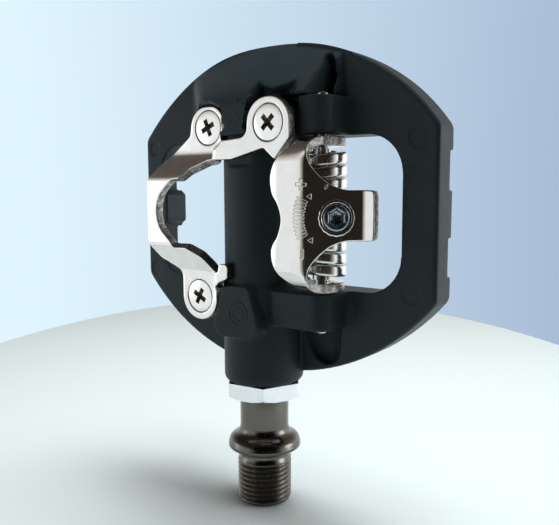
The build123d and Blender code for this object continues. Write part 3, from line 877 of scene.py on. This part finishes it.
def conformed(loop, width=0.13, height=0.13):
    """Thin raised bead that follows an outline over the rear claw's surface."""
    root = -0.12
    section = ((width, root), (width * 0.75, height * 0.6), (0, height),
               (-width * 0.75, height * 0.6), (-width, root))
    count = len(loop)
    points, faces = [], []
    for side, lift in section:
        flat = np.array([plate_spot(p.x, p.y) for p in grown(loop, side)])
        x, v = flat[:, 0], flat[:, 1]
        normals = sheet_normals(rear_claw_bend, x, v)
        points += [tuple(p) for p in rear_claw_bend(x, v) + normals * lift]
    for row in range(len(section)):
        here, there = row * count, (row + 1) % len(section) * count
        faces += [(here + k, there + k, there + (k + 1) % count, here + (k + 1) % count)
                  for k in range(count)]
    return points, faces


def plus_mark(s, v, reach, arm):
    """Cross outline with equal arms."""
    quarter = [(reach, -arm), (reach, arm), (arm, arm)]
    loop = []
    for turn in range(4):
        for x, y in quarter:
            for _ in range(turn):
                x, y = -y, x
            loop.append(Vector((s + x, v + y)))
    return divided_loop(loop, 0.25)


def slot_mark(s, v, angle, length, width):
    """Elongated round-ended mark."""
    loop = []
    for end, start in ((1, -90), (-1, 90)):
        for degrees in range(start, start + 181, 45):
            a = math.radians(degrees)
            loop.append(Vector((end * (length - width) / 2 + width / 2 * math.cos(a),
                                width / 2 * math.sin(a))))
    loop = divided_loop(loop, 0.3)
    turn = math.radians(angle)
    return [Vector((s + p.x * math.cos(turn) - p.y * math.sin(turn),
                    v + p.x * math.sin(turn) + p.y * math.cos(turn))) for p in loop]


def triangle_mark(s, v, size, angle):
    """Triangle outline with one corner at the angle."""
    loop = []
    for k in range(3):
        a = math.radians(angle + 120 * k)
        loop.append(Vector((s + size * math.cos(a), v + size * math.sin(a))))
    return divided_loop(loop, 0.3)


# ---- settings -------------------------------------------------------------------------
class PedalBodySettings(bpy.types.PropertyGroup):
    """Sizes of the moulded body."""
    voxel: bpy.props.FloatProperty(
        name="Mesh spacing", description="Spacing of the moulded body's mesh, in millimetres",
        default=0.34, min=0.2, max=2.0)


class PedalClawSettings(bpy.types.PropertyGroup):
    """Sizes of the two pressed claws."""
    spacing: bpy.props.FloatProperty(
        name="Mesh spacing", description="Spacing of the claws' mesh, in millimetres",
        default=0.45, min=0.2, max=2.0)
    cut_edge: bpy.props.FloatProperty(
        name="Cut edge radius", description="Rounding of the punched edges, in millimetres",
        default=0.3, min=0.05, max=1.0)


class PedalStageSettings(bpy.types.PropertyGroup):
    """Light and camera."""
    table_colour: bpy.props.FloatVectorProperty(
        name="Table colour", description="Colour of the pale table", subtype="COLOR",
        default=(0.80, 0.90, 0.91), min=0, max=1)
    wall_colour: bpy.props.FloatVectorProperty(
        name="Wall colour", description="Colour of the pale backdrop", subtype="COLOR",
        default=(0.75, 0.92, 1.0), min=0, max=1)
    lens: bpy.props.FloatProperty(
        name="Lens", description="Focal length of the camera, in millimetres", default=42.91,
        min=10, max=200)


# ---- operators ------------------------------------------------------------------------
class PEDAL_OT_body(bpy.types.Operator):
    """Builds the moulded platform body with its small moulded marks"""
    bl_idname = "pedal.body"
    bl_label = "Moulded body"

    def execute(self, context):
        settings = context.scene.pedal_body
        voxel = settings.voxel * 1
        body = make_object("moulded_body", body_mesh(voxel), "pedal_body", "black_nylon",
                           black_nylon())
        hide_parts("platform_body")
        x, dz = UPPER_MARK
        parts = [dot_mark(x + 2.9 * math.cos(a), dz + 2.9 * math.sin(a), 0.28)
                 for a in np.linspace(0, math.tau, 8, endpoint=False)]
        parts += [dot_mark(x + 0.45 * k, dz - 0.55 * k, 0.2) for k in (-2, -1, 0, 1, 2)]
        x, dz = LOWER_MARK
        parts += [ring_mark(x, dz, 2.9, 0.12), ring_mark(x, dz, 1.7, 0.1)]
        points, faces = merge(*parts)
        make_object("moulded_marks", mesh_from("moulded_marks", points, faces), "pedal_body",
                    "black_nylon", black_nylon())
        return {"FINISHED"}


class PEDAL_OT_front_claw(bpy.types.Operator):
    """Builds the fixed front claw as one pressed sheet with punched edges"""
    bl_idname = "pedal.front_claw"
    bl_label = "Front claw"

    def execute(self, context):
        settings = context.scene.pedal_claws
        rim = front_claw_rim(0.3)
        holes = [circle_loop(x, dz, HEAD_R + 0.12, HEAD_R + 0.12, 72)
                 for x, dz, _, _ in SCREWS]
        points, faces, kinds = pressed_sheet(rim, holes, front_claw_bend, CLAW_SHEET,
                                             settings.cut_edge, settings.spacing, torn=0.09)
        mesh = mesh_from("front_claw_sheet", points, faces, indices=kinds)
        claw = make_object("front_claw_sheet", mesh, "pedal_body", "nickel_steel",
                           nickel_plate(), sheared_steel())
        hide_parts("front_claw")
        return {"FINISHED"}


class PEDAL_OT_screws(bpy.types.Operator):
    """Builds the three countersunk screws of the front claw"""
    bl_idname = "pedal.screws"
    bl_label = "Claw screws"

    def execute(self, context):
        for number, (x, dz, top, turn) in enumerate(SCREWS, 1):
            name = f"claw_screw_{number}"
            mesh = screw_mesh(x, dz, top, turn)
            mesh.name = name
            obj = bpy.data.objects.new(name, mesh)
            context.scene.collection.objects.link(obj)
            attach(obj, "pedal_body")
        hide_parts("front_claw_screws")
        return {"FINISHED"}


class PEDAL_OT_rear_claw(bpy.types.Operator):
    """Builds the sprung rear claw, its upset screw rim and its stamped scale"""
    bl_idname = "pedal.rear_claw"
    bl_label = "Rear claw"

    def execute(self, context):
        settings = context.scene.pedal_claws
        hole_r, pin_hole_r = 3.48, 1.9
        screw_hole = circle_loop(SCREW_AT[0], SCREW_AT[2], hole_r / math.sqrt(2), hole_r, 64)
        pins = [circle_loop(PIN_X, side * PIN_V, pin_hole_r, pin_hole_r, 40)
                for side in (1, -1)]
        points, faces, kinds = pressed_sheet(rear_claw_outline(), [screw_hole, *pins],
                                             rear_claw_bend, REAR_SHEET,
                                             settings.cut_edge, settings.spacing)
        profile = [(3.4, -1.2), (3.4, 0.22), (3.46, 0.30), (3.56, 0.32), (3.9, 0.32),
                   (4.0, 0.26), (4.08, 0.1), (4.1, -0.3), (3.6, -1.2)]

        def scalloped(angle, index, radius):
            return radius + (0.13 * abs(math.cos(8 * angle)) if 3 < index < 8 else 0)
        screw_rim = lathe(profile, 192, scalloped, OUT_OF_PLATE, SCREW_CENTRE, closed=True)
        points, faces = merge((points, faces), screw_rim)
        kinds += [0] * len(screw_rim[1])
        mesh = mesh_from("rear_claw_sheet", points, faces, indices=kinds)
        claw = make_object("rear_claw_sheet", mesh, "rear_claw", "nickel_steel",
                           polished_nickel(), sheared_steel())
        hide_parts("rear_claw")

        ticks, tick_turn = 11, 5.3
        marks = []
        for k in range(ticks):
            angle = 180 + (k - ticks // 2) * tick_turn
            s = TICK_RADIUS * math.cos(math.radians(angle))
            v = TICK_RADIUS * math.sin(math.radians(angle))
            marks.append(slot_mark(s, v, angle, 2.7, 0.52))
        marks.append(triangle_mark(-6.3, 4.9, 0.75, 180))
        marks.append(triangle_mark(-6.0, -4.9, 0.75, 180))
        marks.append(plus_mark(-8.5, 7.5, 1.25, 0.36))
        marks.append(slot_mark(-8.2, -8.0, 88, 2.6, 0.75))
        marks.append(slot_mark(-2.4, 7.0, 60, 1.1, 0.4))
        points, faces = merge(*[conformed(loop) for loop in marks])
        make_object("stamped_scale", mesh_from("stamped_scale", points, faces),
                    "rear_claw", "nickel_steel", polished_nickel())
        return {"FINISHED"}


class PEDAL_OT_tension_screw(bpy.types.Operator):
    """Builds the tension screw with its hexagon socket"""
    bl_idname = "pedal.tension_screw"
    bl_label = "Tension screw"

    def execute(self, context):
        profile = [(0, -1.0), (1.4, -1.0), (1.5, -0.9), (1.5, 0.2), (1.95, 0.46),
                   (2.2, 0.5), (2.5, 0.5), (2.85, 0.42), (3.1, 0.2), (3.2, -0.1), (3.2, -0.8),
                   (2.0, -0.85), (2.0, -5.0), (1.6, -5.4), (0, -5.4)]
        socket_rows = range(1, 5)

        def hexed(angle, index, radius):
            return hexagon_radius(angle, radius * 2) if index in socket_rows else radius
        points, faces = lathe(profile, 96, hexed, OUT_OF_PLATE, SCREW_CENTRE)
        screw = make_object("tension_screw_head", mesh_from("tension_screw_head", points, faces),
                            "tension_screw", "black_steel", blued_steel())
        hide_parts("tension_screw")
        return {"FINISHED"}


class PEDAL_OT_springs(bpy.types.Operator):
    """Winds the two torsion springs from square-section wire"""
    bl_idname = "pedal.springs"
    bl_label = "Springs"

    def execute(self, context):
        half_wire, radius, pitch = 1.36, 4.5, 2.92
        start, turns, steps, height = -0.28 * math.tau, 2.53, 260, 7.2
        square = [(-half_wire, -half_wire), (half_wire, -half_wire),
                  (half_wire, half_wire), (-half_wire, half_wire)]
        section = rounded_loop(square, [0.5] * 4, 0.35)
        for side, name in ((1, "upper"), (-1, "lower")):
            frames = []
            for k in range(steps + 1):
                angle = start + math.tau * turns * k / steps
                radial = Vector((math.cos(angle), math.sin(angle), 0))
                rise = height + pitch * angle / math.tau
                frames.append((Vector((PIN_X, PIN_Y, 0)) + radial * radius
                               + Vector((0, 0, rise)), radial))
            last, radial = frames[-1]
            ahead = Vector((-radial.y, radial.x, 0))
            frames += [(last + ahead * reach, radial) for reach in (0.4, 3.0, 6.0, 8.8)]
            points, faces = [], []
            for spot, outward in frames:
                for p in section:
                    place = spot + outward * p.x + Vector((0, 0, p.y))
                    points.append((place.x, place.y, PLATFORM_Z + side * place.z))
            count = len(section)
            for row in range(len(frames) - 1):
                for k in range(count):
                    n = (k + 1) % count
                    faces.append((row * count + k, row * count + n,
                                  (row + 1) * count + n, (row + 1) * count + k))
            faces.append(tuple(range(count)))
            faces.append(tuple(len(points) - count + k for k in range(count)))
            mesh = mesh_from(f"{name}_spring_coil", points, faces)
            piece = make_object(f"{name}_spring_coil", mesh, "pedal_body", "spring_steel",
                                drawn_wire())
            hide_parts(f"{name}_spring")
        return {"FINISHED"}


class PEDAL_OT_spindle(bpy.types.Operator):
    """Turns the spindle with its flange, thread and key socket, and the hexagon collar"""
    bl_idname = "pedal.spindle"
    bl_label = "Spindle and collar"

    def execute(self, context):
        pitch, depth, top, bottom = 1.27, 0.62, -2.6, -13.2
        rows = 160
        profile = [(0, 83.0), (3.6, 83.0), (4.0, 82.6), (4.0, 70.0), (4.9, 69.9), (4.9, 46.0),
                   (6.0, 38.0), (6.0, 22.7), (6.4, 21.7), (6.4, 9.0), (6.4, 6.6), (6.47, 5.9),
                   (6.7, 5.2), (7.05, 4.65), (7.5, 4.25), (8.1, 3.9), (8.7, 3.5), (9.15, 3.0),
                   (9.42, 2.4), (9.5, 1.9), (9.56, 1.72), (9.6, 1.6), (9.6, 0.95), (9.52, 0.82),
                   (9.3, 0.62), (8.3, 0.1), (8.0, 0.0), (6.7, 0.0), (6.5, -0.15), (6.5, -2.0)]
        first_thread = len(profile)
        profile += [(7.14, top + (bottom - top) * k / rows) for k in range(rows + 1)]
        last_thread = len(profile) - 1
        profile += [(6.3, -14.0), (4.5, -14.0), (4.0, -13.7), (4.0, -6.2), (3.4, -6.0), (0, -5.4)]
        socket_rows = range(len(profile) - 4, len(profile) - 1)

        def cut(angle, index, radius):
            if index in socket_rows:
                return hexagon_radius(angle, radius * 2)
            if first_thread <= index <= last_thread:
                height = profile[index][1]
                phase = (height / pitch - angle / math.tau) % 1.0
                groove = abs(phase * 2 - 1)
                ends = min(1.0, (top - height) / 0.8, (height - bottom) / 0.8)
                return radius - depth * groove * max(ends, 0.3)
            return radius
        points, faces = lathe(profile, 128, cut)
        mesh = mesh_from("turned_spindle", points, faces)
        piece = make_object("turned_spindle", mesh, "spindle", "spindle_steel", dark_spindle())
        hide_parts("spindle")

        flats, low, high = 18.0, 14.3, 18.7
        levels = [(7.0, low), (8.35, low), (8.6, low + 0.08)]
        levels += [(8.6 + 2.9 * t, low + 0.08 + 1.6 * t)
                   for t in (0.08, 0.2, 0.35, 0.5, 0.7, 1.0)]
        levels += [(11.5, high - 0.12), (11.38, high)]
        turn = math.radians(37)

        def hexed(angle, index, radius):
            return min(radius, hexagon_radius(angle - turn, flats))
        outer = levels + [(7.9, high), (7.9, high + 5.0), (6.8, high + 5.0), (6.8, low + 0.3)]
        points, faces = lathe(outer, 240, hexed, closed=True)
        mesh = mesh_from("hexagon_collar", points, faces)
        collar = make_object("hexagon_collar", mesh, "pedal_body", "collar_alloy",
                             turned_alloy())
        collar.data.set_sharp_from_angle(angle=math.radians(24))
        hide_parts("axle_collar")
        return {"FINISHED"}


class PEDAL_OT_small_parts(bpy.types.Operator):
    """Gives the bearing parts, pin and inserts their finishes"""
    bl_idname = "pedal.small_parts"
    bl_label = "Bearing and pin finishes"

    def execute(self, context):
        finishes = {
            "dust_seal": dark_rubber, "inboard_bush": plain_polymer,
            "spring_guide": ground_steel, "outboard_cage": knurled_brass,
            "threaded_inserts": knurled_brass, "pivot_pin": ground_steel,
            "bearing_sleeve": ground_steel, "outboard_inner_race": ground_steel,
            "outboard_outer_race": ground_steel, "outboard_balls": ground_steel,
            "lock_washer": ground_steel, "lock_nut": ground_steel,
            "tension_plate": blued_steel,
        }
        for node, finish in finishes.items():
            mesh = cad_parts[node].data
            mesh.materials.clear()
            mesh.materials.append(finish())
        return {"FINISHED"}


class PEDAL_OT_stage(bpy.types.Operator):
    """Lays the table, lights and camera"""
    bl_idname = "pedal.stage"
    bl_label = "Stage"

    def execute(self, context):
        settings = context.scene.pedal_stage
        scene = context.scene
        loop = circle_loop(0, 0, 163, 250, 128)
        points = [(p.x, p.y, 0) for p in loop] + [(p.x, p.y, -12) for p in loop]
        count = len(loop)
        faces = [tuple(range(count)), tuple(reversed(range(count, 2 * count)))]
        faces += [(k, count + k, count + (k + 1) % count, (k + 1) % count) for k in range(count)]
        table = bpy.data.objects.new("table", mesh_from("table", points, faces, False))
        table.rotation_euler = (0, 0, math.radians(37.57))
        table.location = (-42 * MM, 56 * MM, -14.02 * MM)
        scene.collection.objects.link(table)
        material = bpy.data.materials.new("Table")
        material.use_nodes = True
        shader = material.node_tree.nodes["Principled BSDF"]
        shader.inputs["Base Color"].default_value = (*settings.table_colour, 1)
        shader.inputs["Roughness"].default_value = 0.6
        table.data.materials.append(material)
        self.light(scene)
        self.world(scene, settings)
        self.camera(scene, settings)
        return {"FINISHED"}

    def light(self, scene):
        """Two soft windows and a lamp overhead that reflections don't see."""
        target = Vector((0, 0, 55 * MM))
        for name, spot, size, power, colour in (
                ("left window", (-400, -250, 60), 200, 0.10, (0.96, 0.98, 1.0)),
                ("right window", (380, 240, 110), 240, 0.55, (0.95, 0.98, 1.0)),
                ("overhead", (20, 60, 420), 300, 1.95, (1.0, 1.0, 1.0))):
            data = bpy.data.lights.new(name, "AREA")
            data.shape, data.size, data.energy, data.color = "DISK", size * MM, power, colour
            lamp = bpy.data.objects.new(name, data)
            lamp.location = Vector(spot) * MM
            aim = target - lamp.location
            lamp.rotation_euler = aim.to_track_quat("-Z", "Y").to_euler()
            lamp.visible_glossy = name != "overhead"
            scene.collection.objects.link(lamp)

    def facing(self, tree, place, direction):
        """How much each direction of the room points one way, from -1 to 1."""
        dot = tree.nodes.new("ShaderNodeVectorMath")
        dot.operation = "DOT_PRODUCT"
        dot.inputs[1].default_value = direction
        tree.links.new(place, dot.inputs[0])
        return dot.outputs["Value"]

    def world(self, scene, settings):
        """A pale room with bright windows to both sides and a dim side towards the front
        right, which only reflections see; the backdrop that the camera sees is the pale wall
        colour with painted shade, darkening towards one side."""
        world = bpy.data.worlds.new("Studio")
        scene.world = world
        world.use_nodes = True
        tree = world.node_tree
        shade = tree.nodes["Background"]
        place = tree.nodes.new("ShaderNodeTexCoord").outputs["Generated"]
        parts = tree.nodes.new("ShaderNodeSeparateXYZ")
        tree.links.new(place, parts.inputs[0])
        total = map_range(tree, parts.outputs["Z"], 0.16, 0.52, 0.90, 0.08)
        for direction, near, far, amount in (((0.70, -0.71, 0.0), 0.84, 0.52, -0.88),
                                             ((-0.80, -0.60, -0.1), 0.98, 0.5, 0.10),
                                             ((0.62, 0.78, 0.1), 0.9, 0.5, 0.5)):
            facing = self.facing(tree, place, Vector(direction).normalized())
            blob = map_range(tree, facing, far, near, 0.0, amount)
            total = math_node(tree, "ADD", total, blob)
        level = math_node(tree, "MAXIMUM", total, 0.012)
        tree.links.new(mixed_colour(tree, level, (1.0, 0.86, 0.72), (0.97, 1.02, 1.05)),
                       shade.inputs["Color"])
        tree.links.new(level, shade.inputs["Strength"])
        # Backdrop for camera rays: painted shade, the pale wall colour darkening towards one side
        backdrop = tree.nodes.new("ShaderNodeBackground")
        side = self.facing(tree, place, (0.787, 0.606, 0))
        backdrop_painted_shade = map_range(tree, side, -0.35, 0.42, 0.0, 1.0)
        backdrop_shade_colour = tuple(c * f for c, f in zip(settings.wall_colour, (0.50, 0.53, 0.66)))
        tree.links.new(mixed_colour(tree, backdrop_painted_shade, settings.wall_colour, backdrop_shade_colour),
                       backdrop.inputs["Color"])
        seen = tree.nodes.new("ShaderNodeLightPath")
        mix = tree.nodes.new("ShaderNodeMixShader")
        tree.links.new(seen.outputs["Is Camera Ray"], mix.inputs[0])
        tree.links.new(shade.outputs[0], mix.inputs[1])
        tree.links.new(backdrop.outputs[0], mix.inputs[2])
        tree.links.new(mix.outputs[0], tree.nodes["World Output"].inputs["Surface"])

    def camera(self, scene, settings):
        """Camera beside the front of the pedal, a little above its middle."""
        data = bpy.data.cameras.new("camera")
        data.sensor_width, data.lens = 36, settings.lens
        data.clip_start = 0.01
        camera = bpy.data.objects.new("camera", data)
        camera.location = Vector((108.26, -133.93, 69.15)) * MM
        aim = Vector((5.24, 0, 49.84)) * MM - camera.location
        turn = aim.to_track_quat("-Z", "Y") @ Matrix.Rotation(
            math.radians(-0.2), 3, "Z").to_quaternion()
        camera.rotation_euler = turn.to_euler()
        scene.collection.objects.link(camera)
        scene.camera = camera
        scene.view_settings.view_transform = "Standard"


OPERATORS = (PEDAL_OT_body, PEDAL_OT_front_claw, PEDAL_OT_screws, PEDAL_OT_rear_claw,
             PEDAL_OT_tension_screw, PEDAL_OT_springs, PEDAL_OT_spindle,
             PEDAL_OT_small_parts, PEDAL_OT_stage)


class PEDAL_PT_panel(bpy.types.Panel):
    """Lists the pedal's pieces and settings"""
    bl_idname = "PEDAL_PT_panel"
    bl_label = "Clipless pedal"
    bl_space_type = "VIEW_3D"
    bl_region_type = "UI"
    bl_category = "Pedal"

    def draw(self, context):
        for operator in OPERATORS:
            self.layout.operator(operator.bl_idname)
        for group in (context.scene.pedal_body, context.scene.pedal_claws,
                      context.scene.pedal_stage):
            for key in group.bl_rna.properties.keys():
                if key not in ("rna_type", "name"):
                    self.layout.prop(group, key)


SETTINGS = {"pedal_body": PedalBodySettings, "pedal_claws": PedalClawSettings,
            "pedal_stage": PedalStageSettings}


def register():
    for cls in (*SETTINGS.values(), *OPERATORS, PEDAL_PT_panel):
        bpy.utils.register_class(cls)
    for name, cls in SETTINGS.items():
        setattr(bpy.types.Scene, name, bpy.props.PointerProperty(type=cls))


def unregister():
    for name in SETTINGS:
        delattr(bpy.types.Scene, name)
    for cls in reversed((*SETTINGS.values(), *OPERATORS, PEDAL_PT_panel)):
        bpy.utils.unregister_class(cls)


def main():
    register()
    for operator in OPERATORS:
        group, name = operator.bl_idname.split(".")
        getattr(getattr(bpy.ops, group), name)()


if __name__ == "__main__":
    main()
